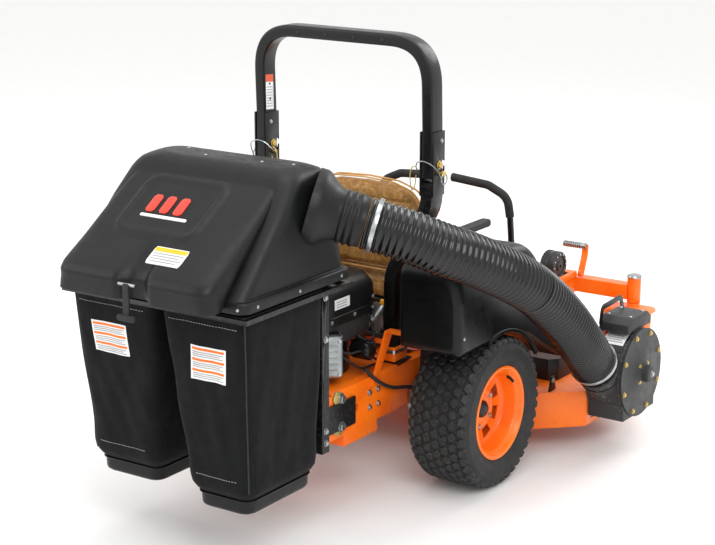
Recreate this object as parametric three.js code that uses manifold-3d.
// Zero-turn mower with a rear twin-bag collector and a side blower, in millimetres.
// Machine axes while building: +X the machine's right, +Y forward, +Z up, with the origin on the
// ground under the middle of the rear axle. `place` moves everything so the origin ends up at the
// middle of the bottom of the bounding box.
import * as THREE from 'three';
import { mergeVertices } from 'three/addons/utils/BufferGeometryUtils.js';
import Module from 'manifold-3d';

const wasm = await Module();
wasm.setup();

// ---- driving dimensions -------------------------------------------------------------------
const ORIGIN = new THREE.Vector3(104, 12, 0); // bounding-box middle, in machine axes

const TYRE_R = 279;          // 22 x 9.5-12 rear tyre
const TYRE_W = 241;
const WHEEL_X = 475.5;
const RIM_R = 155.6;
const CASTER_X = 490;
const CASTER_Y = 1253;
const CASTER_R = 165;
const CASTER_W = 130;
const CASTER_TRAIL = 60;

const RAIL_IN = 190;         // frame rails, inner and outer faces
const RAIL_OUT = 240;
const BEAM_Z = [398, 458];

const ROPS_X = 357.5;        // roll bar tube centre
const ROPS_Y = -117;
const ROPS_TOP = 1626;
const FOLD_Z = 1180;
const PIN_Z = 1150;

const DECK_X = 670;
const DECK_Y = [350, 950];
const DECK_Z = [100, 240];
const BLADE_R = 210;
const SPINDLES = { left: [-425, 620], centre: [0, 725], right: [425, 620] };
const PULLEY_R = 60;
const BELT_Z = [268, 282];

const BLOWER_C = [640, 305]; // blower axis, y and z
const BLOWER_R = 165;
const BLOWER_X = [675, 820];

const HOSE_R = 86;
const HOSE = [[476, -697, 1098], [535, -664, 1078], [600, -620, 1052], [662, -555, 1012], [712, -470, 972],
  [748, -378, 925], [776, -280, 873], [790, -170, 812], [794, -60, 740], [791, 40, 667], [781, 140, 594],
  [764, 240, 520], [742, 335, 458], [728, 400, 409], [728, 449, 365]];

const HOOD_X = 360;
const COVER_X = 312;
const BAG_TOP = 880;
const BAG_FLOOR = 262;
const WALL = 4;

// ---- geometry helpers ---------------------------------------------------------------------
const v3 = (p) => new THREE.Vector3(...p);

/** Closed solid from a buffer geometry, turned so that it faces outwards. */
function solid(geometry) {
  geometry.deleteAttribute('normal');
  geometry.deleteAttribute('uv');
  const g = mergeVertices(geometry, 1e-3);
  const p = g.attributes.position.array;
  const tris = [];
  let volume = 0;
  for (let i = 0; i < g.index.count; i += 3) {
    const [a, b, c] = [0, 1, 2].map((k) => g.index.array[i + k]);
    if (a === b || b === c || c === a) continue;
    tris.push(a, b, c);
    const [A, B, C] = [a, b, c].map((k) => new THREE.Vector3().fromArray(p, 3 * k));
    volume += A.dot(B.cross(C));
  }
  if (volume < 0) for (let i = 0; i < tris.length; i += 3) [tris[i], tris[i + 1]] = [tris[i + 1], tris[i]];
  return new wasm.Manifold(new wasm.Mesh({
    numProp: 3, vertProperties: new Float32Array(p), triVerts: new Uint32Array(tris),
  }));
}

const join = (...s) => s.reduce((a, b) => a.add(b));
const cut = (a, ...s) => s.reduce((r, b) => r.subtract(b), a);

/** Box between two corners. */
function box(x0, x1, y0, y1, z0, z1) {
  const g = new THREE.BoxGeometry(x1 - x0, y1 - y0, z1 - z0);
  return solid(g.translate((x0 + x1) / 2, (y0 + y1) / 2, (z0 + z1) / 2));
}

/** Flat outline pushed along an axis. Outline pairs are (y,z) for x, (x,z) for y, (x,y) for z. */
function prism(axis, outline, from, to) {
  const shape = new THREE.Shape(outline.map(([u, v]) => new THREE.Vector2(u, v)));
  const g = new THREE.ExtrudeGeometry(shape, { depth: to - from, bevelEnabled: false });
  const m = new THREE.Matrix4();
  if (axis === 'x') m.set(0, 0, 1, from, 1, 0, 0, 0, 0, 1, 0, 0, 0, 0, 0, 1);
  else if (axis === 'y') m.set(1, 0, 0, 0, 0, 0, -1, to, 0, 1, 0, 0, 0, 0, 0, 1);
  else m.makeTranslation(0, 0, from);
  return solid(g.applyMatrix4(m));
}

/** Profile of (radius, distance) pairs turned about the line that starts at `from` along `dir`. */
function turned(from, dir, profile, segments) {
  const pts = [...profile, profile[0]].map(([r, t]) => new THREE.Vector2(r, t));
  const g = new THREE.LatheGeometry(pts, segments, Math.PI / segments);
  const q = new THREE.Quaternion().setFromUnitVectors(new THREE.Vector3(0, 1, 0), v3(dir).normalize());
  return solid(g.applyQuaternion(q).translate(...from));
}

/** Round bar from a to b. */
function rod(a, b, r, segments = 12) {
  const d = v3(b).sub(v3(a));
  const l = d.length();
  return turned(a, d.toArray(), [[0, 0], [r, 0], [r, l], [0, l]], segments);
}

/** Convex rings of equal count joined into one closed solid. */
function loft(rings) {
  const n = rings[0].length;
  const pos = rings.flat().flatMap((p) => (p.isVector3 ? p.toArray() : p));
  const index = [];
  for (let r = 0; r + 1 < rings.length; r += 1) {
    for (let i = 0; i < n; i += 1) {
      const [a, b] = [r * n + i, r * n + ((i + 1) % n)];
      index.push(a, b, b + n, a, b + n, a + n);
    }
  }
  const end = (rings.length - 1) * n;
  for (let i = 1; i + 1 < n; i += 1) index.push(0, i + 1, i, end, end + i, end + i + 1);
  const g = new THREE.BufferGeometry();
  g.setAttribute('position', new THREE.Float32BufferAttribute(pos, 3));
  g.setIndex(index);
  return solid(g);
}

/** Path with its corners rounded to a radius. */
function rounded(points, radius, steps = 4) {
  const p = points.map(v3);
  const out = [p[0]];
  for (let i = 1; i + 1 < p.length; i += 1) {
    const [a, b] = [p[i - 1].clone().sub(p[i]), p[i + 1].clone().sub(p[i])];
    const reach = Math.min(radius * Math.tan((Math.PI - a.angleTo(b)) / 2), a.length() / 2.05, b.length() / 2.05);
    const [s, e] = [a.setLength(reach).add(p[i]), b.setLength(reach).add(p[i])];
    const curve = new THREE.QuadraticBezierCurve3(s, p[i], e);
    out.push(...curve.getPoints(steps));
  }
  out.push(p[p.length - 1]);
  return out;
}

/** Section of (side, up) pairs carried along a path; `up` keeps it from turning. */
function sweep(path, section, up) {
  const p = path.map((q) => (q.isVector3 ? q : v3(q)));
  const rings = p.map((q, i) => {
    const before = i ? q.clone().sub(p[i - 1]).normalize() : null;
    const after = i + 1 < p.length ? p[i + 1].clone().sub(q).normalize() : null;
    const t = (before && after ? before.clone().add(after) : before || after).normalize();
    const miter = before && after ? 1 / Math.max(0.5, t.dot(after)) : 1;
    const side = t.clone().cross(v3(up)).normalize();
    const top = side.clone().cross(t).normalize();
    return section.map(([s, u]) => q.clone().addScaledVector(side, s * miter).addScaledVector(top, u));
  });
  return loft(rings);
}

const circle = (r, n) => Array.from({ length: n }, (_, i) => {
  const a = ((i + 0.5) / n) * 2 * Math.PI;
  return [r * Math.cos(a), r * Math.sin(a)];
});
const rect = (w, h) => [[-w / 2, -h / 2], [w / 2, -h / 2], [w / 2, h / 2], [-w / 2, h / 2]];
const mirror = (s) => s.mirror([1, 0, 0]);

/** Outline of a rectangle with clipped corners. */
function clipped(x0, x1, y0, y1, c) {
  return [[x0 + c, y0], [x1 - c, y0], [x1, y0 + c], [x1, y1 - c], [x1 - c, y1], [x0 + c, y1], [x0, y1 - c], [x0, y0 + c]];
}

// ---- finishes and the list of pieces ------------------------------------------------------
const FINISH = {
  orange: [0xff7a1a, 0.35, 0.1], black: [0x1b1b1c, 0.45, 0.2], plastic: [0x202122, 0.6, 0],
  rubber: [0x232324, 0.85, 0], steel: [0x8d9092, 0.35, 0.9], zinc: [0xb9a566, 0.35, 0.9],
  vinyl: [0xb07f3e, 0.6, 0], fabric: [0x2a2b2c, 0.95, 0], grey: [0x4f4f4f, 0.5, 0.3], cast: [0x9c9fa1, 0.5, 0.7],
};
const group = new THREE.Group();

/** Adds one named piece to the assembly, moved into the part's own frame. */
function place(name, body, finish) {
  const mesh = body.getMesh();
  const g = new THREE.BufferGeometry();
  g.setAttribute('position', new THREE.Float32BufferAttribute(mesh.vertProperties, 3));
  g.setIndex([...mesh.triVerts]);
  g.translate(-ORIGIN.x, -ORIGIN.y, -ORIGIN.z);
  g.computeVertexNormals();
  const [color, roughness, metalness] = FINISH[finish];
  const piece = new THREE.Mesh(g, new THREE.MeshStandardMaterial({ color, roughness, metalness }));
  piece.name = name;
  group.add(piece);
}

/** Places a right-hand piece and its mirror image. */
function pair(name, body, finish) {
  place(`${name}_right`, body, finish);
  place(`${name}_left`, mirror(body), finish);
}

// ---- frame --------------------------------------------------------------------------------
function mainFrame() {
  const side = [[-575, 270], [100, 270], [235, BEAM_Z[0]], [1225, BEAM_Z[0]], [1225, BEAM_Z[1]], [225, BEAM_Z[1]],
    [130, 430], [-575, 430]];
  const slot = box(RAIL_IN - 5, RAIL_OUT + 5, -470, -400, 335, 362);
  const rail = cut(prism('x', side, RAIL_IN, RAIL_OUT), slot);
  const beam = box(-470, 470, CASTER_Y - 30, CASTER_Y + 30, ...BEAM_Z);
  const hub = rod([CASTER_X, CASTER_Y, 385], [CASTER_X, CASTER_Y, 489], 28.5, 14);
  const bore = rod([CASTER_X, CASTER_Y, 380], [CASTER_X, CASTER_Y, 495], 16, 12);
  const plate = cut(box(-RAIL_OUT, RAIL_OUT, -560, -150, 430, 438), rod([0, -350, 420], [0, -350, 450], 45, 16));
  const hitch = join(box(-150, 150, -583, -574, 280, 420), box(150, RAIL_OUT, -490, -280, 228, 275));
  const cross = [box(-RAIL_IN, RAIL_IN, -575, -540, 290, 410), box(-RAIL_IN, RAIL_IN, 100, 150, 345, 395),
    box(-RAIL_IN, RAIL_IN, 470, 520, 405, 450), box(-RAIL_IN, RAIL_IN, 900, 950, 405, 450)];
  const bones = join(rail, mirror(rail), beam, hub, mirror(hub), plate, hitch, mirror(hitch), ...cross);
  return cut(bones, bore, mirror(bore));
}

function floorPan() {
  const outer = box(-246, 246, 470, 1214, 459, 490);
  const inner = box(-241, 241, 475, 1209, 450, 485);
  return cut(outer, inner, box(154, 232, 1026, 1174, 450, 500));
}

function fender() {
  const outline = [[-300, 575], [-285, 557], [-170, 567], [60, 566], [340, 436], [470, 364], [478, 372], [478, 545],
    [430, 650], [330, 775], [235, 845], [200, 858], [-285, 858], [-300, 840]];
  const body = prism('x', outline, 335, 585);
  const shoulder = prism('y', [[535, 870], [590, 870], [590, 800]], -310, 500);
  return cut(body, shoulder, rod([330, 0, TYRE_R], [600, 0, TYRE_R], 294, 40));
}

function hydro() {
  const gear = prism('x', clipped(-80, 70, 205, 345, 22), 241, 338);
  const pump = rod([290, -5, 340], [290, -5, 405], 42, 16);
  const shaft = rod([330, 0, TYRE_R], [490, 0, TYRE_R], 16, 12);
  return join(gear, pump, shaft);
}

// ---- roll bar -----------------------------------------------------------------------------
/** Round slot that lets the lock pin swing with the bar. */
function pinTrack(x0, x1) {
  const r = FOLD_Z - PIN_Z;
  const arc = (radius, list) => list.map((a) => [ROPS_Y + radius * Math.sin(a), FOLD_Z - radius * Math.cos(a)]);
  const steps = [-0.28, 0.2, 0.68, 1.16, 1.64, 2.1];
  return prism('x', [...arc(r - 8, steps), ...arc(r + 9, [...steps].reverse())], x0, x1);
}

function ropsPost() {
  const path = rounded([[206, ROPS_Y, 439], [206, ROPS_Y, 770], [ROPS_X, ROPS_Y, 1030], [ROPS_X, ROPS_Y, 1118]], 160, 3);
  const tube = sweep(path, rect(45, 74), [0, 1, 0]);
  const foot = box(178, RAIL_OUT, ROPS_Y - 33, ROPS_Y + 60, 438.4, 446);
  const outline = [[ROPS_Y - 37, 1070], [ROPS_Y + 37, 1070], [ROPS_Y + 37, 1296], [ROPS_Y - 37, 1296]];
  const cheek = (x) => cut(prism('x', outline, x, x + 6), rod([x - 1, ROPS_Y, FOLD_Z], [x + 7, ROPS_Y, FOLD_Z], 8.5, 12),
    pinTrack(x - 1, x + 7));
  return join(tube, foot, cheek(ROPS_X - 28.4), cheek(ROPS_X + 22.4));
}

function ropsHoop() {
  const lean = -11;
  const top = ROPS_TOP - 22;
  const path = rounded([[-ROPS_X, ROPS_Y, PIN_Z - 16], [-ROPS_X, ROPS_Y, 1296], [-ROPS_X, ROPS_Y + lean, top],
    [ROPS_X, ROPS_Y + lean, top], [ROPS_X, ROPS_Y, 1296], [ROPS_X, ROPS_Y, PIN_Z - 16]], 150, 6);
  const tube = sweep(path, rect(43.5, 73), [0, 1, 0]);
  const pivot = rod([ROPS_X - 36, ROPS_Y, FOLD_Z], [ROPS_X + 36, ROPS_Y, FOLD_Z], 8, 12);
  const hole = rod([ROPS_X - 40, ROPS_Y, PIN_Z], [ROPS_X + 40, ROPS_Y, PIN_Z], 6.6, 12);
  return cut(join(tube, pivot, mirror(pivot)), hole, mirror(hole));
}

function lockPin() {
  const pin = rod([ROPS_X - 40, ROPS_Y, PIN_Z], [ROPS_X + 46, ROPS_Y, PIN_Z], 6, 10);
  return join(pin, rod([ROPS_X + 40, ROPS_Y, PIN_Z], [ROPS_X + 52, ROPS_Y, PIN_Z], 11, 12));
}

// ---- wheels -------------------------------------------------------------------------------
function rearTyre() {
  const n = 24;
  const tread = TYRE_R / Math.cos(Math.PI / n);
  const half = [[156, 103.6], [173, 103.6], [176, 113], [215, TYRE_W / 2], [258, 117], [tread, 100]];
  const hollow = [[258, 92], [205, 105], [156, 88]];
  const outer = [...half.map(([r, t]) => [r, -t]), ...[...half].reverse()];
  const inner = [...[...hollow].reverse(), ...hollow.map(([r, t]) => [r, -t])];
  return turned([WHEEL_X, 0, TYRE_R], [1, 0, 0], [...outer, ...inner], n);
}

function rearRim() {
  const profile = [[RIM_R, -104.2], [RIM_R, 104.2], [171, 104.2], [171, 108], [151, 108], [149, 34], [30, 24],
    [30, 16], [150, 24], [151, -108], [171, -108], [171, -104.2]];
  const c = [WHEEL_X, 0, TYRE_R];
  const hub = turned(c, [1, 0, 0], [[17, -40], [50, -40], [50, 0], [66, 4], [66, 18], [17, 18]], 12);
  const cap = turned(c, [1, 0, 0], [[0, 18.6], [29, 18.6], [33, 22], [24, 40], [0, 42]], 10);
  let rim = join(turned(c, [1, 0, 0], profile, 24), hub, cap);
  for (let i = 0; i < 8; i += 1) {
    const a = (i + 0.5) * (Math.PI / 4);
    const slot = box(WHEEL_X, WHEEL_X + 40, -19, 19, TYRE_R + 88, TYRE_R + 108);
    rim = rim.subtract(slot.translate([0, 0, -TYRE_R]).rotate([(a * 180) / Math.PI, 0, 0]).translate([0, 0, TYRE_R]));
  }
  return rim;
}

function casterFork() {
  const [x, y] = [CASTER_X, CASTER_Y - CASTER_TRAIL];
  const crown = prism('z', clipped(x - 93, x + 93, y - 25, CASTER_Y + 40, 22), 352, 365);
  const stem = rod([x, CASTER_Y, 360], [x, CASTER_Y, 488], 14, 12);
  const collar = rod([x, CASTER_Y, 362], [x, CASTER_Y, 383], 27, 16);
  const legShape = [[y - 22, 150], [y - 14, 140], [y + 14, 140], [y + 22, 150], [y + 40, 356], [y - 25, 356]];
  const leg = prism('x', legShape, x + 84, x + 93);
  const far = prism('x', legShape, x - 93, x - 84);
  const axle = rod([x - 98, y, CASTER_R], [x + 98, y, CASTER_R], 9, 12);
  return join(crown, stem, collar, leg, far, axle);
}

function casterWheel() {
  const n = 20;
  const tread = CASTER_R / Math.cos(Math.PI / n);
  const half = [[12, 66], [34, 66], [38, 50], [92, 50], [140, CASTER_W / 2], [tread, 50]];
  const profile = [...half.map(([r, t]) => [r, -t]), ...[...half].reverse()];
  return turned([CASTER_X, CASTER_Y - CASTER_TRAIL, CASTER_R], [1, 0, 0], profile, n);
}

// ---- engine -------------------------------------------------------------------------------
function engineBlock() {
  const crankcase = rod([0, -350, 438.5], [0, -350, 640], 140, 20);
  const head = box(-60, 60, -215, -80, 470, 620);
  const lean = (s) => head.rotate([0, 0, s * 48]).translate([0, -350, 0]);
  const bore = rod([0, -350, 430], [0, -350, 520], 16, 12);
  return cut(join(crankcase, lean(1), lean(-1)), bore);
}

function engineShroud() {
  const ring = (w, y0, y1, z, c) => clipped(-w, w, y0, y1, c).map(([x, y]) => [x, y, z]);
  const outer = loft([ring(178, -505, -175, 642, 50), ring(178, -505, -175, 745, 50), ring(150, -480, -200, 790, 50)]);
  const inner = loft([ring(172, -499, -181, 635, 48), ring(172, -499, -181, 742, 48), ring(146, -476, -204, 785, 48)]);
  const screen = rod([0, -370, 788], [0, -370, 812], 100, 24);
  return join(cut(outer, inner), screen);
}

const airCleaner = () => prism('y', clipped(-150, 150, 813, 880, 22), -500, -385);
const muffler = () => rod([-150, -586, 505], [150, -586, 505], 40, 16);
const oilFilter = () => rod([141, -282, 520], [222, -282, 520], 36, 14);

function enginePulley() {
  const c = [0, -350, 0];
  return join(rod([0, -350, 255], [0, -350, 515], 14, 10),
    turned(c, [0, 0, 1], [[10, 262], [70, 262], [62, 270], [62, 276], [70, 284], [10, 284]], 24));
}

// ---- seat and controls --------------------------------------------------------------------
const seatBase = () => join(box(-205, 205, 40, 440, 459, 475), box(-150, 150, 80, 400, 470, 596), box(-190, 190, 60, 430, 590, 606));

function seatCushion() {
  const ring = (w, y0, y1, z, c) => clipped(-w, w, y0, y1, c).map(([x, y]) => [x, y, z]);
  return loft([ring(205, 45, 470, 611, 40), ring(238, 25, 500, 640, 50), ring(243, 22, 508, 680, 55), ring(222, 40, 485, 716, 50)]);
}

function seatBack() {
  const half = [[150, 724], [225, 745], [250, 800], [252, 900], [250, 978], [215, 1040], [130, 1068], [0, 1075]];
  const outline = [...half, ...[...half].reverse().slice(1).map(([x, z]) => [-x, z])];
  const shape = (y, k) => outline.map(([x, z]) => [x * k, y - (z - 720) * 0.12, 900 + (z - 900) * k]);
  return loft([shape(92, 0.86), shape(74, 1), shape(34, 1), shape(14, 0.9)]);
}

function armrest() {
  const pad = prism('y', clipped(225, 269, 830, 862, 8), 112, 460);
  return join(pad, box(256, 268, 30, 130, 836, 856), rod([254, 45, 846], [272, 45, 846], 16, 12));
}

function leverBase() {
  const hub = rod([272, 580, 500], [308, 580, 500], 22, 14);
  return join(hub, prism('x', [[566, 500], [594, 500], [588, 732], [562, 732]], 284, 296));
}

function lapBar() {
  const path = rounded([[290, 575, 739], [290, 560, 850], [284, 547, 930], [200, 545, 968], [45, 545, 980]], 60, 3);
  return sweep(path, circle(16.5, 10), [0, 1, 0]);
}

function brakeLever() {
  const arm = prism('x', [[418, 505], [442, 505], [436, 750], [424, 750]], -324, -316);
  return join(arm, rod([-327, 430, 515], [-313, 430, 515], 18, 12), rod([-320, 430, 745], [-320, 430, 815], 14, 12));
}

function deckPedal() {
  const arm = sweep([[254, 1235, 478], [254, 1262, 545], [254, 1268, 590]], rect(9, 26), [1, 0, 0]);
  return join(rod([245, 1235, 476], [262, 1235, 476], 13, 14), arm, rod([150, 1268, 584], [258, 1268, 584], 12.5, 14));
}

const heightDial = () => turned([160, 1100, 530], [1, 0, 0], [[8, 0], [58, 0], [62, 5], [62, 62], [58, 67], [8, 67]], 24);
const fuelCap = () => turned([-460, -170, 858.5], [0, 0, 1], [[0, 0], [42, 0], [42, 18], [36, 24], [0, 24]], 20);

// ---- collector ----------------------------------------------------------------------------
function catcherFrame() {
  const bar = (x0, x1, y0, y1) => box(x0, x1, y0, y1, 862, 878);
  const post = box(290, 330, -745, -705, 295, 878);
  const arm = box(242, 250, -745, -430, 300, 400);
  const knee = box(242, 300, -745, -729, 300, 400);
  const side = bar(364, 378, -1210, -642);
  const half = join(post, arm, knee, side);
  const ring = [bar(-378, 378, -1210, -1197), bar(-378, 378, -656, -642), bar(-10, 10, -1197, -642), bar(-364, 364, -745, -729)];
  return join(half, mirror(half), ...ring);
}

/** Fabric bag: a thin-walled, open-topped box that narrows towards its floor tray. */
function bag(top, bottom) {
  const ring = ([x0, x1, y0, y1], z, inset) => [[x0 + inset, y0 + inset, z], [x1 - inset, y0 + inset, z], [x1 - inset, y1 - inset, z],
    [x0 + inset, y1 - inset, z]];
  const outer = loft([ring(bottom, BAG_FLOOR, 0), ring(top, BAG_TOP, 0)]);
  return cut(outer, loft([ring(bottom, BAG_FLOOR + WALL, WALL), ring(top, BAG_TOP + 5, WALL)]));
}

/** Moulded tray that holds a bag's floor flat. */
function tray([x0, x1, y0, y1]) {
  const [a, b] = [prism('z', clipped(x0, x1, y0, y1, 25), 210, 261.5), prism('z', clipped(x0 + WALL, x1 - WALL, y0 + WALL, y1 - WALL, 23), 214, 270)];
  return cut(a, b);
}

const BAGS = {
  right: { top: [16, 358, -1190, -765], bottom: [125, 335, -1155, -810] },
  left: { top: [-358, -16, -1190, -765], bottom: [-345, -95, -1085, -790] },
};

const HOOD_SIDE = [[-637, 928], [-690, 1262], [-712, 1280], [-880, 1280], [-1216, 928]];
const COVER_SIDE = [[-1310, 905], [-1317, 970], [-1300, 992], [-1250, 1024], [-1070, 1137], [-930, 1228], [-862, 1279],
  [-835, 1279], [-1222, 905]];
const BOOT = { from: [300, -795, 1155], to: [470, -699, 1100], r: 82 };

/** Column whose cross-section narrows upwards with clipped shoulders, as seen from behind. */
function taper(half, top) {
  const right = [[half, 860], [half, 930], [half - 10, 1150], [half - 24, 1232], [half - 62, top]];
  return prism('y', [...right, ...[...right].reverse().map(([x, z]) => [-x, z])], -1400, -600);
}

function hoodFrontShell() {
  const rim = cut(box(-379, 379, -1216, -637, 892, 930), box(-368, 368, -1205, -648, 880, 926),
    box(-HOOD_X + WALL, HOOD_X - WALL, -1200, -641, 920, 940));
  const outer = prism('x', HOOD_SIDE, -HOOD_X, HOOD_X).intersect(taper(HOOD_X, 1280));
  const inner = prism('x', [[-641, 925], [-694, 1259], [-714, 1276], [-878, 1276], [-1213, 925]], -HOOD_X, HOOD_X)
    .intersect(taper(HOOD_X - WALL, 1280 - WALL));
  const flare = prism('x', [[-1325, 870], [-1325, 985], [-1252, 1033], [-1072, 1147], [-932, 1237], [-860, 1290], [-822, 1290],
    [-1150, 870]], -HOOD_X, HOOD_X).intersect(taper(COVER_X + 3, 1300));
  const boot = rod(BOOT.from, BOOT.to, BOOT.r, 20);
  const bore = rod(v3(BOOT.from).lerp(v3(BOOT.to), -0.5).toArray(), v3(BOOT.from).lerp(v3(BOOT.to), 1.2).toArray(), BOOT.r - 5, 20);
  const shell = cut(join(rim, cut(outer, inner)), flare);
  const spigot = boot.subtract(inner);
  return cut(join(shell, spigot), bore);
}

function hoodRearCover() {
  const outer = prism('x', COVER_SIDE, -HOOD_X, HOOD_X).intersect(taper(COVER_X, 1285));
  const inside = [[-1306, 890], [-1313, 969], [-1297, 989], [-1248, 1020], [-1068, 1133], [-928, 1224], [-861, 1275], [-700, 1275],
    [-700, 890]];
  const slot = box(-26, 26, -1330, -1290, 890, 958);
  return cut(outer, prism('x', inside, -HOOD_X, HOOD_X).intersect(taper(COVER_X - WALL, 1285)), slot);
}

const hoodLatch = () => join(box(-12, 12, -1330, -1321, 850, 966), box(-36, 36, -1334, -1318, 845, 866));

function collectorHose() {
  return cut(sweep(HOSE, circle(HOSE_R, 12), [0, 0, 1]), sweep([[468, -702, 1101], ...HOSE.slice(1, -1), [728, 458, 357]],
    circle(HOSE_R - 6, 12), [0, 0, 1]));
}

// ---- cutting deck and blower --------------------------------------------------------------
function deckShell() {
  const plan = [[-DECK_X + 60, DECK_Y[0]], [514, DECK_Y[0]], [DECK_X, 500], [DECK_X, 860], [590, DECK_Y[1]], [-590, DECK_Y[1]],
    [-DECK_X, 860], [-DECK_X, 420]];
  const inset = (k) => plan.map(([x, y]) => [x - Math.sign(x) * k, y > 650 ? y - k : y + k]);
  let deck = cut(prism('z', plan, ...DECK_Z), prism('z', inset(6), DECK_Z[0] - 10, DECK_Z[1] - 5));
  for (const [x, y] of Object.values(SPINDLES)) {
    deck = cut(join(deck, rod([x, y, 215], [x, y, 258], 45, 12)), rod([x, y, 200], [x, y, 270], 17, 10));
  }
  const arm = prism('x', [[944, 105], [950, 130], [1014, 92], [1014, 60], [985, 60]], 262, 270);
  const bracket = join(arm, rod([210, 1003, 75], [266, 1003, 75], 8, 10));
  return cut(join(deck, bracket, mirror(bracket)), box(650, 690, 540, 740, 120, 230));
}

const deckRoller = () => turned([212, 1003, 75], [1, 0, 0], [[9, 0], [46, 0], [50, 6], [50, 40], [46, 46], [9, 46]], 16);

function blade([x, y]) {
  const bar = box(x - BLADE_R, x + BLADE_R, y - 30, y + 30, 128, 134).rotate([0, 0, 0]);
  const shaft = rod([x, y, 120], [x, y, 290], 15, 12);
  return join(bar, shaft, rod([x, y, 264], [x, y, 286], PULLEY_R, 24), rod([x, y, 134], [x, y, 160], 32, 16));
}

/** Smallest convex outline around the belt's three pulleys. */
function beltOutline(r) {
  const pts = Object.values(SPINDLES).flatMap(([x, y]) => circle(r, 24).map(([u, v]) => [x + u, y + v]));
  pts.sort((a, b) => a[0] - b[0] || a[1] - b[1]);
  const turn = (o, a, b) => (a[0] - o[0]) * (b[1] - o[1]) - (a[1] - o[1]) * (b[0] - o[0]);
  const chain = (list) => list.reduce((h, p) => {
    while (h.length > 1 && turn(h[h.length - 2], h[h.length - 1], p) <= 0) h.pop();
    return [...h, p];
  }, []);
  return [...chain(pts).slice(0, -1), ...chain([...pts].reverse()).slice(0, -1)];
}

const deckBelt = () => cut(prism('z', beltOutline(PULLEY_R + 9), ...BELT_Z), prism('z', beltOutline(PULLEY_R + 1), BELT_Z[0] - 5, BELT_Z[1] + 5));

function beltCover() {
  const [x, y] = SPINDLES.right;
  return cut(prism('z', clipped(x - 85, x + 95, y - 95, y + 130, 30), 241, 325), prism('z', clipped(x - 81, x + 91, y - 91, y + 126, 28), 235, 321),
    box(x - 120, x - 60, y - 85, y + 120, 235, 315), box(x - 120, x - 70, y - 60, y + 95, 235, 321));
}

function blowerHousing() {
  const [y, z] = BLOWER_C;
  const [x0, x1] = BLOWER_X;
  const drum = rod([x0, y, z], [x1, y, z], BLOWER_R, 24);
  const foot = box(x0, x1, y - 130, y + 130, 142, z);
  const chute = cut(rod([728, 462, 353], [728, 578, 249], 80, 18), box(600, x0, 400, 800, 100, 500));
  const hollow = rod([x0 + 6, y, z], [x1 + 5, y, z], BLOWER_R - 6, 24);
  const throat = cut(rod([728, 440, 373], [728, 578, 249], 75, 18), box(600, x0 + 6, 400, 800, 100, 500));
  const inlet = box(x0 - 5, x0 + 20, y - 85, y + 85, 165, 232);
  return cut(join(drum, foot, chute), hollow, throat, inlet);
}

function blowerPlate() {
  const [y, z] = BLOWER_C;
  const outline = circle(BLOWER_R + 4, 24).map(([u, v]) => [y + u, z + v]);
  return join(prism('x', outline, BLOWER_X[1] + 0.5, BLOWER_X[1] + 6), rod([BLOWER_X[1] + 6, y, z], [BLOWER_X[1] + 46, y, z], 34, 16));
}

function impeller() {
  const [y, z] = BLOWER_C;
  const disc = rod([706, y, z], [712, y, z], 100, 24);
  const shaft = rod([706, y, z], [815, y, z], 16, 12);
  let wheel = join(disc, shaft);
  for (let i = 0; i < 6; i += 1) wheel = wheel.add(box(706, 800, -4, 4, 10, 148).rotate([i * 60, 0, 0]).translate([0, y, z]));
  return wheel;
}

const driveCover = () => cut(prism('x', [[545, 474], [735, 474], [735, 505], [705, 528], [575, 528], [545, 505]], 690, 812),
  prism('x', [[549, 470], [731, 470], [731, 503], [703, 524], [577, 524], [549, 503]], 694, 808));

// ---- assembly -----------------------------------------------------------------------------
place('main_frame', mainFrame(), 'orange');
place('floor_pan', floorPan(), 'orange');
pair('fender', fender(), 'plastic');
pair('hydro', hydro(), 'cast');
pair('rops_post', ropsPost(), 'black');
place('rops_hoop', ropsHoop(), 'black');
pair('lock_pin', lockPin(), 'zinc');
pair('rear_tyre', rearTyre(), 'rubber');
pair('rear_rim', rearRim(), 'orange');
pair('caster_fork', casterFork(), 'orange');
pair('caster_wheel', casterWheel(), 'rubber');
place('engine_block', engineBlock(), 'cast');
place('engine_shroud', engineShroud(), 'black');
place('air_cleaner', airCleaner(), 'plastic');
place('muffler', muffler(), 'steel');
place('oil_filter', oilFilter(), 'black');
place('engine_pulley', enginePulley(), 'steel');
place('seat_base', seatBase(), 'black');
place('seat_cushion', seatCushion(), 'vinyl');
place('seat_back', seatBack(), 'vinyl');
pair('armrest', armrest(), 'black');
pair('lever_base', leverBase(), 'orange');
pair('lap_bar', lapBar(), 'black');
place('parking_brake_lever', brakeLever(), 'black');
place('deck_pedal', deckPedal(), 'zinc');
place('height_dial', heightDial(), 'plastic');
place('fuel_cap', fuelCap(), 'plastic');
place('catcher_frame', catcherFrame(), 'black');
for (const [side, { top, bottom }] of Object.entries(BAGS)) {
  place(`bag_${side}`, bag(top, bottom), 'fabric');
  place(`tray_${side}`, tray(bottom), 'plastic');
}
place('hood_front_shell', hoodFrontShell(), 'plastic');
place('hood_rear_cover', hoodRearCover(), 'plastic');
place('hood_latch', hoodLatch(), 'rubber');
place('collector_hose', collectorHose(), 'rubber');
place('deck_shell', deckShell(), 'orange');
pair('deck_roller', deckRoller(), 'plastic');
for (const [side, centre] of Object.entries(SPINDLES)) place(`blade_${side}`, blade(centre), 'steel');
place('deck_belt', deckBelt(), 'rubber');
pair('belt_cover', beltCover(), 'plastic');
place('blower_housing', blowerHousing(), 'grey');
place('blower_plate', blowerPlate(), 'grey');
place('impeller', impeller(), 'steel');
place('blower_drive_cover', driveCover(), 'grey');

export default group;
